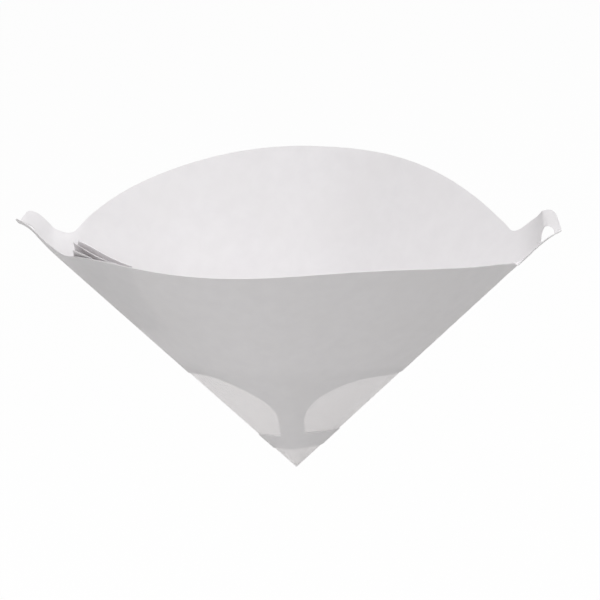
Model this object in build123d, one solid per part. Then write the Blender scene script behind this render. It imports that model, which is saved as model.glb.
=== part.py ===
from build123d import *
from math import acos, atan2, cos, degrees, hypot, radians, sin, tan
import os

# The strainer is a paper cone that is pulled open from flat. The gauze's tip is at the origin, the cone opens
# upwards, its two folded sides lie left and right along X, and its two faces look forwards and backwards
# along Y. Lengths are in millimetres. A slant is a distance along the inside of the paper, from the point
# where its faces would meet.
rim_slant = 130.0
fold_lean = 45.3
face_lean = 31.9
paper_thickness = 0.3
glue_gap = 0.12

# Where the paper ends above the tip, and the band that closes the windows below
paper_end_slant = 13.6
window_low_slant = 22.4
window_top_slant = 59.5
window_corner_radius = 21.0
leg_width = 9.6

# The ears at the two folds
ear_length = 22.0
ear_half_width = 13.0
ear_corner_radius = 5.0
ear_root_radius = 4.0
ear_hole_diameter = 8.6
ear_hole_rise = 15.3

# The gauze cone, and how far it reaches past the windows inside the paper
gauze_thickness = 0.15
gauze_overlap = 5.5

# The glue lap inside the left of the front face, which starts a little above the gauze
lap_gauze_gap = 5.0
lap_angle = 26.0
lap_proud_angle = 11.0
lap_proud_height = 3.0

# How far cutting solids run past what they cut
overrun = 6.0


def face_tilt():
    """Angle by which each face's cone leans back, so that both cones meet at the folds."""
    face = radians(face_lean)
    fold = radians(fold_lean)
    return atan2(cos(face) - cos(fold), sin(face))


def cone_half_angle():
    """Half angle of the round cone that each face is bent along."""
    return radians(face_lean) + face_tilt()


def fold_turn():
    """Angle about the cone's axis from the middle of a face to its fold."""
    return acos(tan(face_tilt()) / tan(cone_half_angle()))


def face_half_angle():
    """Angle between the middle of a face and its fold in the flat paper."""
    return fold_turn() * sin(cone_half_angle())


def front_point(slant, angle):
    """Place on the front face of a point of the flat paper, by its slant and angle from the middle."""
    half_angle = cone_half_angle()
    tilt = face_tilt()
    turn = angle / sin(half_angle)
    out = slant * sin(half_angle) * cos(turn)
    along = slant * cos(half_angle)
    return Vector(
        slant * sin(half_angle) * sin(turn),
        along * sin(tilt) - out * cos(tilt),
        along * cos(tilt) + out * sin(tilt),
    )


def front_normal(angle):
    """Outward direction of the front face at an angle from its middle in the flat paper."""
    half_angle = cone_half_angle()
    tilt = face_tilt()
    turn = angle / sin(half_angle)
    out = cos(half_angle) * cos(turn)
    return Vector(
        cos(half_angle) * sin(turn),
        -sin(half_angle) * sin(tilt) - out * cos(tilt),
        -sin(half_angle) * cos(tilt) + out * sin(tilt),
    )


def reach():
    """Length that every cutting solid covers from the tip."""
    return rim_slant + ear_length + overrun


def front_cone(outset):
    """Solid cone inside the front face, moved outwards by the outset."""
    half_angle = cone_half_angle()
    height = reach()
    cone = Cone(0, height * tan(half_angle), height, align=(Align.CENTER, Align.CENTER, Align.MIN))
    cone = Pos(0, 0, -outset / sin(half_angle)) * cone
    return Rot(X=-degrees(face_tilt())) * cone


def front_space(align_x):
    """Everything in front of the folds: on both sides, or to the right with Align.MIN."""
    size = 2 * reach()
    return Box(size, size, size, align=(align_x, Align.MAX, Align.CENTER))


def front_sheet(space, inner_outset, thickness):
    """Sheet of one thickness along the front face, within a space."""
    return (space & front_cone(inner_outset + thickness)) - front_cone(inner_outset)


def fold_plane():
    """Plane of the front face at the right fold, with X along the fold and Y from the fold into the face."""
    fold = face_half_angle()
    return Plane(origin=(0, 0, 0), x_dir=front_point(rim_slant, fold), z_dir=front_normal(fold))


def ear_shape():
    """Half of an ear in the flat, from the fold at Y = 0, with a hollow corner where it leaves the rim."""
    end = rim_slant + ear_length
    root_across = ear_half_width + ear_root_radius
    root_along = (rim_slant ** 2 - root_across ** 2) ** 0.5
    root_top = root_along + ear_root_radius
    outline = Polyline(
        (rim_slant - overrun, -overrun),
        (end, -overrun),
        (end, ear_half_width - ear_corner_radius),
    )
    outline += RadiusArc(
        (end, ear_half_width - ear_corner_radius),
        (end - ear_corner_radius, ear_half_width),
        -ear_corner_radius,
    )
    outline += Line((end - ear_corner_radius, ear_half_width), (root_top, ear_half_width))
    outline += RadiusArc((root_top, ear_half_width), (root_along, root_across), ear_root_radius)
    outline += Polyline(
        (root_along, root_across),
        (rim_slant - overrun, root_across),
        (rim_slant - overrun, -overrun),
    )
    hole = Pos(rim_slant + ear_hole_rise, 0) * Circle(ear_hole_diameter / 2)
    return make_face(outline) - hole


def ear_space():
    """Space that the front half of the right ear fills, square to the paper."""
    return extrude(fold_plane() * ear_shape(), amount=overrun / 2, both=True)


def corner_centre():
    """Centre of a window's round top corner, across and along from the middle of the face."""
    across = leg_width / 2 + window_corner_radius
    from_tip = window_top_slant - window_corner_radius
    return across, (from_tip ** 2 - across ** 2) ** 0.5


def corner_curve():
    """Round top corner of a window, seen from the front."""
    across, along = corner_centre()
    start = radians(180)
    end = atan2(along, across)
    shares = [0, 0.125, 0.25, 0.375, 0.5, 0.625, 0.75, 0.875, 1]
    points = []
    for share in shares:
        turn = start + share * (end - start)
        x = across + window_corner_radius * cos(turn)
        y = along + window_corner_radius * sin(turn)
        place = front_point(hypot(x, y), atan2(x, y))
        points.append((place.X, place.Z))
    return points


def window_space():
    """Right-hand window: a band between two slants, beside the leg, with one round top corner."""
    size = 2 * window_top_slant
    band = Sphere(window_top_slant) - Sphere(window_low_slant)
    band &= Pos(leg_width / 2, 0, 0) * Box(size, size, size, align=(Align.MIN, Align.MAX, Align.CENTER))
    points = corner_curve()
    foot, head = points[0], points[-1]
    inner_x = leg_width / 2 - overrun
    top_z = window_top_slant + overrun
    past_head = (head[0] * top_z / head[1], top_z)
    outline = Spline(points)
    outline += Polyline(head, past_head, (inner_x, top_z), (inner_x, foot[1]), foot)
    corner = extrude(Plane.XZ * make_face(outline), amount=size)
    return band - corner


def keep_side(plane, inside):
    """The part of space on the side of a plane where a given point lies."""
    if plane.to_local_coords(inside).Z > 0:
        plane = Plane(origin=plane.origin, x_dir=plane.x_dir, z_dir=-plane.z_dir)
    size = 2 * reach()
    return plane * Box(size, size, size, align=(Align.CENTER, Align.CENTER, Align.MAX))


def lap_ply():
    """Glue lap inside the left of the front face, with a corner that stands proud of the rim."""
    fold_angle = -face_half_angle()
    edge_angle = fold_angle + radians(lap_angle)
    proud_angle = fold_angle + radians(lap_proud_angle)
    low = front_point(rim_slant, edge_angle)
    high = front_point(rim_slant + lap_proud_height, proud_angle)
    edge_plane = Plane(origin=(0, 0, 0), x_dir=low, z_dir=low.cross(front_normal(edge_angle)))
    side_plane = Plane(origin=(0, 0, 0), x_dir=high, z_dir=high.cross(front_normal(proud_angle)))
    top_line = high - low
    top_plane = Plane(origin=low, x_dir=top_line, z_dir=top_line.cross(front_normal(proud_angle)))
    proud_space = keep_side(side_plane, low) & keep_side(top_plane, high - high.normalized() * lap_proud_height)
    space = front_space(Align.CENTER) & keep_side(edge_plane, high)
    space &= Sphere(rim_slant) + proud_space
    space -= Sphere(window_top_slant + gauze_overlap + lap_gauze_gap)
    return front_sheet(space, -paper_thickness, paper_thickness)


def paper_cone():
    """Paper body of four like quarters, with ears, windows, legs and lower band, and the glue lap."""
    space = Sphere(rim_slant) + ear_space() - Sphere(paper_end_slant)
    quarter = front_sheet(space & front_space(Align.MIN), 0, paper_thickness) - window_space()
    half = quarter + mirror(quarter, about=Plane.YZ)
    return half + mirror(half, about=Plane.XZ) + lap_ply()


def gauze_cone():
    """Fine gauze cone, closed at the tip, which lines the bottom of the paper cone."""
    lift = gauze_thickness / sin(radians(face_lean))
    space = Sphere(window_top_slant + gauze_overlap) & front_space(Align.CENTER)
    half = (space & front_cone(0)) - Pos(0, 0, lift) * front_cone(0)
    return half + mirror(half, about=Plane.XZ)


# The paper lies outside the gauze by the glue gap, so its faces would meet a little below the gauze's tip
paper_drop = glue_gap / sin(radians(face_lean))

os.makedirs("parts", exist_ok=True)
export_step(Pos(0, 0, -paper_drop) * paper_cone(), "parts/paper_cone.step")
export_step(gauze_cone(), "parts/gauze_cone.step")
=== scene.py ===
from math import acos, asin, atan2, ceil, cos, pi, radians, sin, sqrt, tan

import bpy
import numpy as np
from mathutils import Matrix, Vector
from mathutils.geometry import delaunay_2d_cdt


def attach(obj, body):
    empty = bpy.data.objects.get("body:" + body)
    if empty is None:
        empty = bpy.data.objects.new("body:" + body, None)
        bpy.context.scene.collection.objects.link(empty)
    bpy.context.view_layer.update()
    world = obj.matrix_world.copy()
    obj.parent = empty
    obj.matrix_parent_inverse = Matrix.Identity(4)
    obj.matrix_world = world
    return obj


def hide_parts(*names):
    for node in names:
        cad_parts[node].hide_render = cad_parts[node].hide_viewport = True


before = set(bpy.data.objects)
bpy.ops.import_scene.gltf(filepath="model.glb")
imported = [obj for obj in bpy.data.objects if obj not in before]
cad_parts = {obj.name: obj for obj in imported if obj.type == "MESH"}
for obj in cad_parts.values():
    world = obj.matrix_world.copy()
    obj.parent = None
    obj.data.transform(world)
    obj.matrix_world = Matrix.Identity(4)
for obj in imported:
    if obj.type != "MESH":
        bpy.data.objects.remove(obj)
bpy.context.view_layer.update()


# The paper cone: one flat sheet of uncoated white card, die cut to part of a ring with an ear at each fold and
# four windows near the point. It is folded at both sides, closed with a glue lap inside the front, and stays in
# the gentle curves that it takes when it is pulled open.

# Sizes in metres. A slant is a distance from the point of the flat blank, which is a little uneven.
card_thickness = 0.0003
glue_thickness = 0.00012
rim_slant = 0.130
low_end_left, low_end_middle, low_end_right = 0.0122, 0.0134, 0.0150
window_low_left, window_low_right = 0.0204, 0.0246
leg_low_left, leg_low_right = 0.0221, 0.0238
window_top_left, window_top_right = 0.0584, 0.0601
window_corner_left, window_corner_right = 0.0184, 0.0204
leg_width = 0.0096
ear_end_left, ear_end_right = rim_slant + 0.0198, rim_slant + 0.0220
ear_half_width = 0.013
ear_corner_left, ear_corner_right = 0.0034, 0.0050
ear_root = 0.004
hole_radius = 0.0041
hole_slant = rim_slant + 0.0149
hole_inset_left, hole_inset_right = -0.0012, 0.0018

# How far the open strainer's folds and faces lean out, and the round cone that each face is bent along
fold_lean = radians(45.3)
face_lean = radians(31.9)
tilt = atan2(cos(face_lean) - cos(fold_lean), sin(face_lean))
half_angle = face_lean + tilt
fold_turn = acos(tan(tilt) / tan(half_angle))
fold_angle = fold_turn * sin(half_angle)

# Directions on the flat blank, from the middle of the front face. The blank's two ends meet at the left fold.
left, right, seam = -fold_angle, fold_angle, 3 * fold_angle
front_middle, back_middle = 0, 2 * fold_angle

# Distance between points along an edge, and how many points a short edge has
card_grain = 0.0020
ear_root_points, ear_side_points, ear_corner_points, ear_end_points = 7, 11, 8, 5
hole_points = 20
leg_points, window_corner_steps = 7, 18


def on_blank(fold, along, across):
    """Place on the flat blank of a point that is given along a fold and across it."""
    return along * sin(fold) + across * cos(fold), along * cos(fold) - across * sin(fold)


def slant_arc(slant, start, end, end_slant=None, grain=card_grain):
    """Points on the flat blank at one distance from its point, or going over to another distance."""
    steps = max(2, ceil(slant * abs(end - start) / grain))
    turn = end - start
    growth = 0 if end_slant is None else end_slant - slant
    return [on_blank(start + turn * i / steps, slant + growth * i / steps, 0) for i in range(steps + 1)]


def fold_line(fold, start, end, grain=card_grain):
    """Points along a fold."""
    steps = max(1, ceil(abs(end - start) / grain))
    return [on_blank(fold, start + (end - start) * i / steps, 0) for i in range(steps + 1)]


root_across = ear_half_width + ear_root
root_along = sqrt(rim_slant ** 2 - root_across ** 2)


def ear_edge(fold, way):
    """Edge of half an ear, from the rim to the fold, on the side of the fold that way gives."""
    end = ear_end_right if fold == right else ear_end_left
    ear_corner = ear_corner_right if fold == right else ear_corner_left
    side_start, side_end = root_along + ear_root, end - ear_corner
    corner_across = ear_half_width - ear_corner
    points = []
    for t in np.linspace(0, pi / 2, ear_root_points):
        points.append((side_start - ear_root * cos(t), root_across - ear_root * sin(t)))
    points += [(a, ear_half_width) for a in np.linspace(side_start, side_end, ear_side_points)[1:-1]]
    for t in np.linspace(0, pi / 2, ear_corner_points):
        points.append((side_end + ear_corner * sin(t), corner_across + ear_corner * cos(t)))
    points += [(end, corner_across * t) for t in np.linspace(1, 0, ear_end_points)[1:]]
    return [on_blank(fold, a, way * b) for a, b in points]


def hole_edge(fold, way):
    """Edge of the part of an ear's hole on one side of its fold. Neither hole is centred on its fold."""
    hole_inset = way * hole_inset_right if fold == right else hole_inset_left
    past_fold = asin(hole_inset / hole_radius)
    points = []
    for t in np.linspace(pi + past_fold, -past_fold, hole_points):
        points.append((hole_slant + hole_radius * cos(t), way * (hole_inset + hole_radius * sin(t))))
    return [on_blank(fold, a, b) for a, b in points]


def window_edge(leg, way, fold):
    """Edge of a window from its low end at a leg up to its top at a fold, with one round corner."""
    window_corner = window_corner_right if fold == right else window_corner_left
    window_top = window_top_right if fold == right else window_top_left
    leg_low = leg_low_right if fold == right else leg_low_left
    across = leg_width / 2 + window_corner
    along = sqrt((window_top - window_corner) ** 2 - across ** 2)
    foot = sqrt(leg_low ** 2 - (leg_width / 2) ** 2)
    points = [(a, leg_width / 2) for a in np.linspace(foot, along, leg_points)[:-1]]
    corner_turn = atan2(along, across) - pi
    for i in range(window_corner_steps):
        t = pi + corner_turn * i / window_corner_steps
        points.append((along + window_corner * sin(t), across + window_corner * cos(t)))
    top = slant_arc(window_top, leg + way * atan2(across, along), fold)
    return [on_blank(leg, a, way * b) for a, b in points] + top


def window_foot(leg, way, fold):
    """Low edge of a window from a fold to its leg."""
    leg_low = leg_low_right if fold == right else leg_low_left
    fold_low = window_low_right if fold == right else window_low_left
    leg_side = leg + way * atan2(leg_width / 2, sqrt(leg_low ** 2 - (leg_width / 2) ** 2))
    return slant_arc(fold_low, fold, leg_side, leg_low)


# Once round the blank: up its left end, along the rim and its ears, down its other end and back along the low
# end. The left window pair and hole lie half at each end, and the right ones are cut-outs.
root_angle = atan2(root_across, root_along)
hole_reach_left = sqrt(hole_radius ** 2 - hole_inset_left ** 2)
hole_reach_right = sqrt(hole_radius ** 2 - hole_inset_right ** 2)
blank_edge = (
    fold_line(left, low_end_left, window_low_left)
    + window_foot(front_middle, -1, left)[1:]
    + window_edge(front_middle, -1, left)[1:]
    + fold_line(left, window_top_left, hole_slant - hole_reach_left)[1:]
    + hole_edge(left, 1)[1:]
    + fold_line(left, hole_slant + hole_reach_left, ear_end_left)[1:]
    + ear_edge(left, 1)[::-1][1:]
    + slant_arc(rim_slant, left + root_angle, right - root_angle)[1:]
    + ear_edge(right, -1)[1:]
    + ear_edge(right, 1)[::-1][1:]
    + slant_arc(rim_slant, right + root_angle, seam - root_angle)[1:]
    + ear_edge(seam, -1)[1:]
    + fold_line(seam, ear_end_left, hole_slant + hole_reach_left)[1:]
    + hole_edge(seam, -1)[::-1][1:]
    + fold_line(seam, hole_slant - hole_reach_left, window_top_left)[1:]
    + window_edge(back_middle, 1, seam)[::-1][1:]
    + window_foot(back_middle, 1, seam)[::-1][1:]
    + fold_line(seam, window_low_left, low_end_left)[1:]
    + slant_arc(low_end_left, seam, right, low_end_right)[1:]
    + slant_arc(low_end_right, right, front_middle, low_end_middle)[1:]
    + slant_arc(low_end_middle, front_middle, left, low_end_left)[1:-1]
)
right_window = (
    window_edge(front_middle, 1, right)
    + window_edge(back_middle, -1, right)[::-1][1:]
    + window_foot(back_middle, -1, right)[::-1][1:]
    + window_foot(front_middle, 1, right)[1:-1]
)
right_hole = hole_edge(right, 1) + hole_edge(right, -1)[::-1][1:-1]

# The height of a sheet's rows of triangles and their distance from its edges, as shares of their side, and how
# near two points count as one
row_share, edge_share = 0.866, 0.6
same_place = 1e-7


def inside(points, loops):
    """Whether each point is on the sheet, and not in a cut-out."""
    crossings = np.zeros(len(points), int)
    for loop in loops:
        for (x1, y1), (x2, y2) in zip(loop, loop[1:] + loop[:1]):
            if y1 != y2:
                level = (points[:, 1] < y1) != (points[:, 1] < y2)
                crossings += level & (points[:, 0] < x1 + (points[:, 1] - y1) * (x2 - x1) / (y2 - y1))
    return crossings % 2 == 1


def cut_sheet(loops, lines, reach, grain):
    """Triangles of a flat sheet inside its loops, with edges along its fold lines."""
    places, edges = [], []
    for loop in loops:
        edges += [(len(places) + i, len(places) + (i + 1) % len(loop)) for i in range(len(loop))]
        places += loop
    for line in lines:
        edges += [(len(places) + i, len(places) + i + 1) for i in range(len(line) - 1)]
        places += line
    taken = np.array(places)
    rows = int(reach / (grain * row_share)) + 1
    for row in range(-rows, rows + 1):
        across = [grain * (i + row % 2 / 2) for i in range(-rows, rows + 1)]
        spots = np.array([(x, row * grain * row_share) for x in across])
        spots = spots[inside(spots, loops)]
        if len(spots):
            near = np.linalg.norm(spots[:, None] - taken[None], axis=2).min(axis=1)
            places += [tuple(s) for s in spots[near > edge_share * grain]]
    flat = [Vector(p) for p in places]
    verts, _, faces, _, _, _ = delaunay_2d_cdt(flat, edges, [], 0, same_place)
    verts = np.array([tuple(v) for v in verts])
    faces = np.array(faces)
    return verts, faces[inside(verts[faces].mean(axis=1), loops)]


def ease(x):
    """Rises smoothly from 0 to 1."""
    x = np.clip(x, 0, 1)
    return x * x * (3 - 2 * x)


# How far each face leaves its round cone, as shares of the slant, in waves from fold to fold. The front bows
# unevenly, and the back is pressed in, more so on the right, with a soft bend line near its middle.
front_sway, front_press, front_ripple = -0.011, -0.003, 0.0085
back_lean, back_sway, back_press = -0.035, -0.004, -0.045
back_ripple, back_flutter = 0.016, 0.008
bend_depth, bend_place, bend_reach, bend_softness = 0.042, 0.09, 0.19, 0.018


def front_push(x):
    """How far the front leaves its cone at a place from the left fold at -1 to the right one at 1."""
    sway = front_sway * np.sin(2 * pi * x) + front_press * np.cos(pi * x / 2)
    return sway + front_ripple * np.cos(3 * pi * x / 2)


def back_push(x):
    """How far the back leaves its cone at a place from the left fold at -1 to the right one at 1."""
    wide = back_lean * np.sin(pi * x) + back_sway * np.sin(2 * pi * x) + back_press * np.cos(pi * x / 2)
    past_bend = (x - bend_place) ** 2
    bend = bend_depth * (np.sqrt(past_bend + bend_reach ** 2) - np.sqrt(past_bend + bend_softness ** 2))
    return wide + back_ripple * np.cos(3 * pi * x / 2) + back_flutter * np.sin(3 * pi * x) + bend


# How far each fold leans out of line, and how each ear is bent in its lower and its outer half, in degrees: the
# whole ear down and forward, and its two plies apart
left_give, right_give = radians(0.5), radians(0.1)
ear_bend_start, ear_bend_length, ear_bend_end, ear_bend_points = 0.127, 0.012, 0.036, 181
spread_start, spread_length = 0.011, 0.0125
right_ear = {"down": (-8, 22), "forward": (36, -35.5), "front_ply": (-12.5, 9.5), "back_ply": (-2.5, 4)}
left_ear = {"down": (-3, 25.5), "forward": (-9.5, -1.5), "front_ply": (-6.5, 0.5), "back_ply": (-19.5, 1)}


def bent_line(turns, way_past):
    """Angle, run and rise along a line that is bent by two turns, at a distance past its start."""
    steps = np.linspace(0, ear_bend_end, ear_bend_points)
    lower, outer = (radians(t) for t in turns)
    angle = lower * ease(steps / ear_bend_length) + outer * ease(steps / ear_bend_length - 1)
    middle = (angle[1:] + angle[:-1]) / 2
    run = np.concatenate([[0], np.cumsum(np.cos(middle) * steps[1])])
    rise = np.concatenate([[0], np.cumsum(np.sin(middle) * steps[1])])
    return [np.interp(way_past, steps, v) for v in (angle, run, rise)]


def bend_ear(place, along, side, way, ear):
    """Bends the card past the start of an ear: first its plies apart, then all of it down, then forward."""
    lean = fold_lean + (right_give if way > 0 else left_give)
    run_line = np.array([way * sin(lean), 0, cos(lean)])
    up_line = np.array([-way * cos(lean), 0, sin(lean)])
    past = np.maximum(along - ear_bend_start, 0)
    off = place - run_line * along[:, None]
    run, up, across = off @ run_line, off @ up_line, off[:, 1]

    lower, outer = (np.where(side > 0, ear["front_ply"][i], ear["back_ply"][i]) for i in (0, 1))
    apart = lower * ease(past / spread_length) + outer * ease((past - spread_start) / spread_length)
    turn, turned = np.cos(np.radians(apart)), np.sin(np.radians(apart))
    across, up = across * turn + side * up * turned, up * turn - side * across * turned

    down, down_run, down_rise = bent_line(ear["down"], past)
    reach = down_run + run * np.cos(down) + up * np.sin(down)
    up = up * np.cos(down) - run * np.sin(down) - down_rise

    forward, run, front = bent_line(ear["forward"], reach)
    bent_run = ear_bend_start + run + across * np.sin(forward)
    bent = run_line * bent_run[:, None] + up_line * up[:, None]
    bent[:, 1] = across * np.cos(forward) - front
    return np.where(past[:, None] > 0, bent, place)


def on_cone(slant, angle, inset):
    """Places in the open strainer of points on the flat blank that lie further in by an inset."""
    back = angle > fold_angle
    side = np.where(back, -1, 1)
    turn = np.where(back, 2 * fold_angle - angle, angle) / sin(half_angle)
    x = turn / fold_turn
    out = slant * sin(half_angle) * np.cos(turn)
    along = slant * cos(half_angle)
    place = np.stack([
        slant * sin(half_angle) * np.sin(turn),
        side * (along * sin(tilt) - out * cos(tilt)),
        along * cos(tilt) + out * sin(tilt),
    ], axis=-1)
    facing = cos(half_angle) * np.cos(turn)
    outward = np.stack([
        cos(half_angle) * np.sin(turn),
        side * (-sin(half_angle) * sin(tilt) - facing * cos(tilt)),
        -sin(half_angle) * cos(tilt) + facing * sin(tilt),
    ], axis=-1)
    push = slant * np.where(back, back_push(x), front_push(x)) - inset
    place = place + outward * push[:, None]
    give = left_give * ease(-x) - right_give * ease(x)
    place = np.stack([
        place[:, 0] * np.cos(give) - place[:, 2] * np.sin(give),
        place[:, 1],
        place[:, 2] * np.cos(give) + place[:, 0] * np.sin(give),
    ], axis=-1)
    for way, ear in ((1, right_ear), (-1, left_ear)):
        from_fold = turn * sin(half_angle) - way * fold_angle
        along = np.where(turn * way > 0, slant * np.cos(from_fold), 0)
        place = bend_ear(place, along, side, way, ear)
    return place


def formed(name, flat, faces, places):
    """Mesh of a formed sheet, which keeps its flat places, in metres, as its texture coordinates."""
    mesh = bpy.data.meshes.new(name)
    mesh.from_pydata([tuple(p) for p in places], [], [tuple(int(i) for i in f) for f in faces])
    layer = mesh.uv_layers.new(name="flat")
    corner = np.zeros(len(mesh.loops), int)
    mesh.loops.foreach_get("vertex_index", corner)
    layer.data.foreach_set("uv", flat[corner].ravel())
    return mesh


seam_reach = 0.00001
outwards, inwards = 1, -1


def thickened(piece, thickness, way):
    """Closes the seam of a formed sheet and gives it its thickness. Its cut edges take its second finish."""
    weld = piece.modifiers.new("glued seam", "WELD")
    weld.merge_threshold = seam_reach
    thick = piece.modifiers.new("thickness", "SOLIDIFY")
    thick.thickness = thickness
    thick.offset = way
    thick.use_quality_normals = True
    thick.material_offset_rim = 1
    graph = bpy.context.evaluated_depsgraph_get()
    finished = bpy.data.meshes.new_from_object(piece.evaluated_get(graph))
    piece.modifiers.clear()
    piece.data = finished


def new_piece(name, held):
    """Object in the scene that holds a mesh, a lamp or a camera."""
    piece = bpy.data.objects.new(name, held)
    bpy.context.scene.collection.objects.link(piece)
    return piece


def no_inset(slants, angles):
    """Inset of a sheet that lies against its cone all over."""
    return 0


def sheet_piece(name, loops, lines, reach, thickness, way, drop, inset=no_inset, grain=card_grain):
    """Piece that is cut from a flat sheet and laid along the cones, lower down by a drop."""
    verts, faces = cut_sheet(loops, lines, reach, grain)
    slants, angles = np.hypot(verts[:, 0], verts[:, 1]), np.arctan2(verts[:, 0], verts[:, 1])
    places = on_cone(slants, angles, inset(slants, angles))
    places[:, 2] -= drop
    piece = new_piece(name, formed(name, verts, faces, places))
    thickened(piece, thickness, way)
    return piece


right_fold = [
    fold_line(right, low_end_right, window_low_right),
    fold_line(right, window_top_right, hole_slant - hole_reach_right),
    fold_line(right, hole_slant + hole_reach_right, ear_end_right),
]
paper_drop = glue_thickness / sin(face_lean)
paper = sheet_piece(
    "paper_cone_card", [blank_edge, right_window, right_hole], right_fold, ear_end_right,
    card_thickness, outwards, paper_drop,
)


def new_finish(name):
    """Empty node material."""
    finish = bpy.data.materials.new(name)
    finish.use_nodes = True
    finish.node_tree.nodes.clear()
    return finish


def put(finish, kind, settings, sockets):
    """Adds a node to a finish, and fills its sockets with values or with the outputs of other nodes."""
    node = finish.node_tree.nodes.new("ShaderNode" + kind)
    for name, value in settings.items():
        setattr(node, name, value)
    for name, value in sockets.items():
        if isinstance(value, bpy.types.NodeSocket):
            finish.node_tree.links.new(value, node.inputs[name])
        else:
            node.inputs[name].default_value = value
    return node


def maths(finish, operation, *values):
    """Output of a Math node."""
    return put(finish, "Math", {"operation": operation}, dict(enumerate(values))).outputs[0]


def vector_maths(finish, operation, *values):
    """Outputs of a Vector Math node."""
    return put(finish, "VectorMath", {"operation": operation}, dict(enumerate(values))).outputs


def spread(finish, value, low, high, start, end):
    """Output that goes from start to end as a value goes from low to high, and no further."""
    sockets = {"Value": value, "From Min": low, "From Max": high, "To Min": start, "To Max": end}
    return put(finish, "MapRange", {"clamp": True}, sockets).outputs[0]


noise_roughness = 0.6


def noise(finish, place, scale, detail):
    """Output of a noise, with its scale in cells a metre."""
    sockets = {"Vector": place, "Scale": scale, "Detail": detail, "Roughness": noise_roughness}
    return put(finish, "TexNoise", {}, sockets).outputs[0]


def streaks(finish, place, turn, length, width):
    """Noise drawn out along one direction of the sheet, as fibres are, by its cells' sizes."""
    drawn = put(finish, "Mapping", {"vector_type": "TEXTURE"}, {"Vector": place, "Rotation": (0, 0, turn)})
    sockets = {"Vector": drawn.outputs[0], "Scale": (1 / length, 1 / width, 1)}
    return noise(finish, put(finish, "Mapping", {}, sockets).outputs[0], 1, 2)


def blend(finish, share, first, second):
    """Colour between two colours."""
    node = put(finish, "Mix", {"data_type": "RGBA"}, {"Factor": share})
    # A Mix node's colours come after its numbers and vectors
    first_colour, second_colour, mixed_colour = node.inputs[6], node.inputs[7], node.outputs[2]
    for socket, colour in ((first_colour, first), (second_colour, second)):
        if isinstance(colour, bpy.types.NodeSocket):
            finish.node_tree.links.new(colour, socket)
        else:
            socket.default_value = (*colour, 1)
    return mixed_colour


def fold_distance(finish, flat):
    """Distance on the flat sheet to the nearest of its folds."""
    nearest = 1
    for fold in (left, right, seam):
        along = vector_maths(finish, "DOT_PRODUCT", flat, (sin(fold), cos(fold), 0))["Value"]
        across = vector_maths(finish, "DOT_PRODUCT", flat, (cos(fold), -sin(fold), 0))["Value"]
        behind = maths(finish, "LESS_THAN", along, 0)
        distance = maths(finish, "ADD", maths(finish, "ABSOLUTE", across), behind)
        nearest = maths(finish, "MINIMUM", nearest, distance)
    return nearest


# White card: two lays of fibres in a cloudy body. It is a little grey where it is handled, and rubbed bright
# and soft at the folds. Thin card is painted whiter: painted light that lifts the split plies out of their
# shade.
fine_white, cloudy_white, handled_white = (0.862, 0.848, 0.862), (0.832, 0.817, 0.832), (0.835, 0.819, 0.826)
# The last white is painted light, which lifts card that stands in shade
fibre_white, rubbed_white, painted_lift_white = (0.79, 0.775, 0.785), (0.92, 0.91, 0.92), (0.97, 0.96, 0.97)
# Each lay's degrees, length and width, and each noise's cells a metre and detail
fibre_lays = ((24, 0.0022, 0.00022), (-47, 0.0018, 0.00020))
cloud_noise, patch_noise, tooth_noise, cockle_noise = (160, 3), (28, 2), (5200, 2), (55, 1)
# From which value to which other each shows, and how much it shows at either
cloud_show, patch_show, fibre_show = (0.32, 0.68, 0, 1), (0.45, 0.75, 0, 0.6), (1.12, 1.34, 0, 0.35)
rub_show, rub_ragged, rub_share = (0.0002, 0.0011, 1, 0), 0.0004, 0.5
roughness_show = (0.3, 1.3, 0.60, 0.86)


def card_finish(name, light_share, light_colour, painted_lift):
    """White card, which lets a share of the light through, and is painted whiter by a share of painted light.
    """
    finish = new_finish(name)
    flat = put(finish, "UVMap", {"uv_map": "flat"}, {}).outputs[0]
    cloud = noise(finish, flat, *cloud_noise)
    patch = noise(finish, flat, *patch_noise)
    tooth = noise(finish, flat, *tooth_noise)
    lays = [streaks(finish, flat, radians(turn), length, width) for turn, length, width in fibre_lays]
    fibres = maths(finish, "ADD", *lays)
    ragged = maths(finish, "MULTIPLY", tooth, rub_ragged)
    ragged_fold = maths(finish, "ADD", fold_distance(finish, flat), ragged)
    rubbed = spread(finish, ragged_fold, *rub_show)
    colour = fine_white
    for share, white in (
        (spread(finish, cloud, *cloud_show), cloudy_white),
        (spread(finish, patch, *patch_show), handled_white),
        (spread(finish, fibres, *fibre_show), fibre_white),
        (maths(finish, "MULTIPLY", rubbed, rub_share), rubbed_white),
        # Painted light: a share of white that lifts the card out of its shade
        (painted_lift, painted_lift_white),
    ):
        colour = blend(finish, share, colour, white)
    cockle = put(finish, "Bump", {}, {
        "Strength": 0.35,
        "Distance": 0.0004,
        "Height": noise(finish, flat, *cockle_noise),
    })
    surface = put(finish, "Bump", {}, {
        "Strength": 0.22,
        "Distance": 0.00012,
        "Height": maths(finish, "ADD", fibres, tooth),
        "Normal": cockle.outputs[0],
    })
    body = put(finish, "BsdfPrincipled", {}, {
        "Base Color": colour,
        "Roughness": spread(finish, maths(finish, "ADD", cloud, rubbed), *roughness_show),
        "Specular IOR Level": 0.32,
        "Sheen Weight": 0.06,
        "Sheen Roughness": 0.6,
        "Normal": surface.outputs[0],
    })
    through = put(finish, "BsdfTranslucent", {}, {"Color": light_colour})
    both = put(finish, "MixShader", {}, {"Fac": light_share, 1: body.outputs[0], 2: through.outputs[0]})
    put(finish, "OutputMaterial", {}, {"Surface": both.outputs[0]})
    return finish


white_card = card_finish("white_card", light_share=0.20, light_colour=(0.90, 0.88, 0.87, 1), painted_lift=0)
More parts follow.
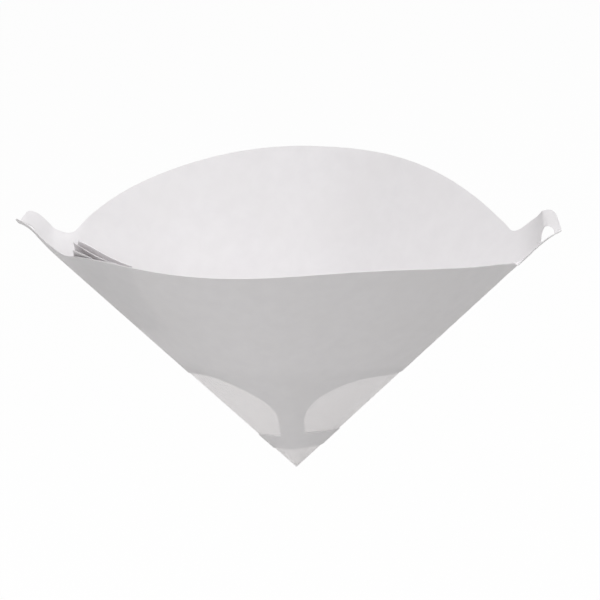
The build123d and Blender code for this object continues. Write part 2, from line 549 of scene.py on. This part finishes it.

# Its cut edge: bare fibres in thin layers, painted a little brighter than the faces as a painted highlight
# where the edge catches the light
shaded_edge, bare_lit_edge = (0.83, 0.82, 0.825), (0.93, 0.92, 0.925)
fuzz_noise, layer_noise, layer_stretch = (7000, 3), (9000, 1), (0.12, 0.12, 1)
bare_show = (0.7, 1.3, 0, 1)
cut_card = new_finish("cut_card")
place = put(cut_card, "TexCoord", {}, {}).outputs["Object"]
fuzz = noise(cut_card, place, *fuzz_noise)
drawn_out = put(cut_card, "Mapping", {}, {"Vector": place, "Scale": layer_stretch}).outputs[0]
layers = noise(cut_card, drawn_out, *layer_noise)
bare = spread(cut_card, maths(cut_card, "ADD", fuzz, layers), *bare_show)
ragged = put(cut_card, "Bump", {}, {"Strength": 0.5, "Distance": 0.00008, "Height": fuzz})
# The edge's colour is partly painted highlight: it is lighter than the faces
edge = put(cut_card, "BsdfPrincipled", {}, {
    "Base Color": blend(cut_card, bare, shaded_edge, bare_lit_edge),
    "Roughness": 0.9,
    "Specular IOR Level": 0.2,
    "Normal": ragged.outputs[0],
})
put(cut_card, "OutputMaterial", {}, {"Surface": edge.outputs[0]})


def dress(piece, *finishes):
    """Gives a piece its finishes."""
    piece.data.materials.clear()
    for finish in finishes:
        piece.data.materials.append(finish)


sharp_edge = radians(35)


def smooth(piece):
    """Smooth faces, which stay sharp where they meet at an edge."""
    piece.data.shade_smooth()
    piece.data.set_sharp_from_angle(angle=sharp_edge)


dress(paper, white_card, cut_card)


# The glue lap of the same card, inside the left of the front. Its top corner was never stuck down: it has split
# along the card, and three thin plies stand up out of the rim and spring away from the front towards the left.

# Each ply's corners as degrees from the left fold and slant, its inset where it is stuck, and how far and how
# sharply its left end springs away
lap_plies = (
    {
        "corners": (
            (0, 0.087), (0, 0.119), (4.6, 0.127), (7, 0.130),
            (10, 0.1335), (17, 0.1309), (24, 0.1300), (21, 0.087),
        ),
        "stuck_inset": 0.00033, "spring": 0.0043, "sharpness": 1.7,
    },
    {
        "corners": (
            (6, 0.106), (6, 0.1275), (9, 0.131), (12.8, 0.1346),
            (20, 0.1311), (28, 0.1302), (22, 0.106),
        ),
        "stuck_inset": 0.00066, "spring": 0.0043, "sharpness": 1.15,
    },
    {
        "corners": (
            (6.3, 0.112), (6.3, 0.127), (9, 0.130),
            (11, 0.1325), (16.5, 0.1303), (16.5, 0.112),
        ),
        "stuck_inset": 0.00033, "spring": 0.0011, "sharpness": 1,
    },
)
spring_start, spring_end = 0.100, 0.131


def ply_edge(corners):
    """Outline of a ply on the flat blank, with points along each straight side."""
    ends = [on_blank(left + radians(angle), slant, 0) for angle, slant in corners]
    points = []
    for (x1, y1), (x2, y2) in zip(ends, ends[1:] + ends[:1]):
        steps = max(1, round(sqrt((x2 - x1) ** 2 + (y2 - y1) ** 2) / card_grain))
        points += [(x1 + (x2 - x1) * i / steps, y1 + (y2 - y1) * i / steps) for i in range(steps)]
    return points


def ply_inset(corners, stuck_inset, spring, sharpness):
    """How far in a ply lies: a little where it is stuck, and more where it springs free, up and to the left."""
    highest = radians(max(corners, key=lambda corner: corner[1])[0])
    last = radians(max(angle for angle, _ in corners))

    def inset(slants, angles):
        free = np.clip((last - (angles - left)) / (last - highest), 0, 1) ** sharpness
        free = free * ease((slants - spring_start) / (spring_end - spring_start))
        return stuck_inset + spring * free

    return inset


# The thin plies are painted most of the way to white: painted light that lifts them out of the shade between
# the plies and the front
thin_card = card_finish("thin_card", light_share=0.42, light_colour=(0.96, 0.94, 0.945, 1), painted_lift=0.75)
pieces = [paper]
for number, lap_ply in enumerate(lap_plies):
    ply = sheet_piece(
        "lap_ply_%d" % number, [ply_edge(lap_ply["corners"])], [], ear_end_right,
        card_thickness, outwards, paper_drop, ply_inset(**lap_ply),
    )
    dress(ply, thin_card, cut_card)
    pieces.append(ply)
with bpy.context.temp_override(
    active_object=paper, object=paper, selected_objects=pieces, selected_editable_objects=pieces
):
    bpy.ops.object.join()
smooth(paper)
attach(paper, "root")
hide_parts("paper_cone")


# The gauze cone: one sector of fine white nylon gauze, rolled to a cone and glued inside the card. It closes
# the windows, and its point hangs bare below the card's cut end.
gauze_thickness = 0.00015
gauze_slant = 0.065
gauze_drop = 0.00018
gauze_grain = 0.0015
gauze_edge = (
    fold_line(left, 0, gauze_slant, gauze_grain)
    + slant_arc(gauze_slant, left, seam, grain=gauze_grain)[1:]
    + fold_line(seam, gauze_slant, 0, gauze_grain)[1:-1]
)
gauze_fold = fold_line(right, 0, gauze_slant, gauze_grain)[1:]
gauze = sheet_piece(
    "gauze_cone_cloth", [gauze_edge], [gauze_fold], gauze_slant,
    gauze_thickness, inwards, gauze_drop, grain=gauze_grain,
)
smooth(gauze)

# White nylon gauze: round threads over and under each other, which wander a little, with small open holes
# between them. Light comes through the threads and the holes.
fresh_thread, grey_thread = (0.93, 0.915, 0.92), (0.90, 0.885, 0.89)
thread_pitch, thread_rise, thread_light_share = 0.00042, 0.2, 0.45
thread_drift, drift_cells, drift_middle = 0.00012, 900, (0.5, 0.5, 0.5)
hole_show, hole_clearness = (0.62, 0.80, 0, 1), 0.8
uneven_noise = (240, 3)
grey_show, thread_roughness_show = (0.3, 0.7, 0, 1), (0.3, 0.7, 0.42, 0.55)
white_gauze = new_finish("white_gauze")
flat = put(white_gauze, "UVMap", {"uv_map": "flat"}, {}).outputs[0]
wander = put(white_gauze, "TexNoise", {}, {"Vector": flat, "Scale": drift_cells, "Detail": 1}).outputs["Color"]
drift = vector_maths(white_gauze, "SUBTRACT", wander, drift_middle)[0]
drift = put(white_gauze, "VectorMath", {"operation": "SCALE"}, {0: drift, "Scale": thread_drift}).outputs[0]
pulled = vector_maths(white_gauze, "ADD", flat, drift)[0]
across_threads = put(white_gauze, "SeparateXYZ", {}, {"Vector": pulled}).outputs
waves = [
    maths(white_gauze, "SINE", maths(white_gauze, "MULTIPLY", across_threads[i], pi / thread_pitch))
    for i in (0, 1)
]
off_threads = [maths(white_gauze, "ABSOLUTE", wave) for wave in waves]
hole_sides = [spread(white_gauze, off, *hole_show) for off in off_threads]
hole = maths(white_gauze, "MULTIPLY", *hole_sides)
thread_tops = maths(white_gauze, "MAXIMUM", *(maths(white_gauze, "SUBTRACT", 1, off) for off in off_threads))
over = maths(white_gauze, "MULTIPLY", *waves)
weave = maths(white_gauze, "ADD", thread_tops, maths(white_gauze, "MULTIPLY", over, thread_rise))
uneven = noise(white_gauze, flat, *uneven_noise)
grey = spread(white_gauze, uneven, *grey_show)
relief = put(white_gauze, "Bump", {}, {"Strength": 0.5, "Distance": 0.00008, "Height": weave})
threads = put(white_gauze, "BsdfPrincipled", {}, {
    "Base Color": blend(white_gauze, grey, fresh_thread, grey_thread),
    "Roughness": spread(white_gauze, uneven, *thread_roughness_show),
    "Specular IOR Level": 0.4,
    "Sheen Weight": 0.15,
    "Normal": relief.outputs[0],
})
through = put(white_gauze, "BsdfTranslucent", {}, {"Color": (0.97, 0.96, 0.96, 1)})
cloth = put(white_gauze, "MixShader", {}, {
    "Fac": thread_light_share,
    1: threads.outputs[0],
    2: through.outputs[0],
})
clear = put(white_gauze, "BsdfTransparent", {}, {})
holed = put(white_gauze, "MixShader", {}, {
    "Fac": maths(white_gauze, "MULTIPLY", hole, hole_clearness),
    1: cloth.outputs[0],
    2: clear.outputs[0],
})
put(white_gauze, "OutputMaterial", {}, {"Surface": holed.outputs[0]})
dress(gauze, white_gauze)
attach(gauze, "root")
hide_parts("gauze_cone")


# The floor: a wide pale matt board well below the hanging strainer. It is seen nearly white, and keeps the
# strainer's soft shadow.
floor_drop, floor_half = 0.16, 6
floor_white, floor_white_share = 1.02, 0.93


def sees_white(finish):
    """Output that is 1 for what the camera sees, also in a gloss or through something clear, else 0."""
    path = put(finish, "LightPath", {}, {}).outputs
    clear = put(finish, "Math", {"operation": "SUBTRACT", "use_clamp": True}, {
        0: path["Is Transmission Ray"],
        1: path["Is Diffuse Ray"],
    })
    seen = maths(finish, "MAXIMUM", path["Is Camera Ray"], path["Is Glossy Ray"])
    return maths(finish, "MAXIMUM", seen, clear.outputs[0])


floor_mesh = bpy.data.meshes.new("floor")
floor_corners = [(x * floor_half, y * floor_half, -floor_drop) for x, y in ((-1, -1), (1, -1), (1, 1), (-1, 1))]
floor_mesh.from_pydata(floor_corners, [], [(0, 1, 2, 3)])
floor = new_piece("floor", floor_mesh)
floor_paint = new_finish("floor_paint")
matt = put(floor_paint, "BsdfDiffuse", {}, {"Color": (0.80, 0.80, 0.79, 1)})
white = put(floor_paint, "Emission", {}, {"Strength": floor_white})
painted = put(floor_paint, "MixShader", {}, {
    "Fac": maths(floor_paint, "MULTIPLY", sees_white(floor_paint), floor_white_share),
    1: matt.outputs[0],
    2: white.outputs[0],
})
put(floor_paint, "OutputMaterial", {}, {"Surface": painted.outputs[0]})
dress(floor, floor_paint)


# The light: an even pale room, which is seen white, and two wide soft lamps, one high on the right and one in
# front, that face the middle of the strainer.
room_light = 0.265
lamp_width = 1.2
lamp_aim = Vector((0, 0, 0.06))
# Each lamp's power in watts and place
lamps = {"right_lamp": (9, (0.55, 0.1, 1.25)), "front_lamp": (11.6, (-0.25, -0.8, 1.0))}

studio = bpy.data.worlds.new("studio")
bpy.context.scene.world = studio
studio.use_nodes = True
studio.node_tree.nodes.clear()
room = put(studio, "Background", {}, {"Color": (1, 1, 1, 1), "Strength": room_light})
plain = put(studio, "Background", {}, {"Color": (1, 1, 1, 1), "Strength": 1.0})
pick = put(studio, "MixShader", {}, {"Fac": sees_white(studio), 1: room.outputs[0], 2: plain.outputs[0]})
put(studio, "OutputWorld", {}, {"Surface": pick.outputs[0]})
for name, (power, spot) in lamps.items():
    lamp_data = bpy.data.lights.new(name, "AREA")
    lamp_data.size = lamp_width
    lamp_data.energy = power
    lamp = new_piece(name, lamp_data)
    lamp.location = spot
    lamp.rotation_euler = (lamp_aim - lamp.location).to_track_quat("-Z", "Y").to_euler()


# The camera: a long lens on a stand in front of the strainer and above it, a little round to the right. It is
# tipped sideways a little, and aims a little above the middle.
rise, round_turn, roll = radians(23.75), radians(5.1), radians(1.5)
distance, sight_end = 2.6, 20
aim_up, aim_across = 0.0665, 0.0014
film_width, lens_length = 36, 390.5
camera_data = bpy.data.cameras.new("camera")
camera_data.sensor_width = film_width
camera_data.lens = lens_length
camera_data.clip_end = sight_end
camera = new_piece("camera", camera_data)
across = Vector((cos(round_turn), sin(round_turn), 0))
toward = Vector((sin(round_turn) * cos(rise), -cos(round_turn) * cos(rise), sin(rise)))
upright = toward.cross(across)
image_across = across * cos(roll) - upright * sin(roll)
image_up = across * sin(roll) + upright * cos(roll)
aim = image_up * aim_up + image_across * aim_across
spot = toward * distance
toward = (spot - aim).normalized()
image_across = image_up.cross(toward).normalized()
image_up = toward.cross(image_across)
axes = Matrix((image_across, image_up, toward)).transposed()
camera.matrix_world = Matrix.Translation(spot) @ axes.to_4x4()
bpy.context.scene.camera = camera
bpy.context.scene.view_settings.view_transform = "Standard"
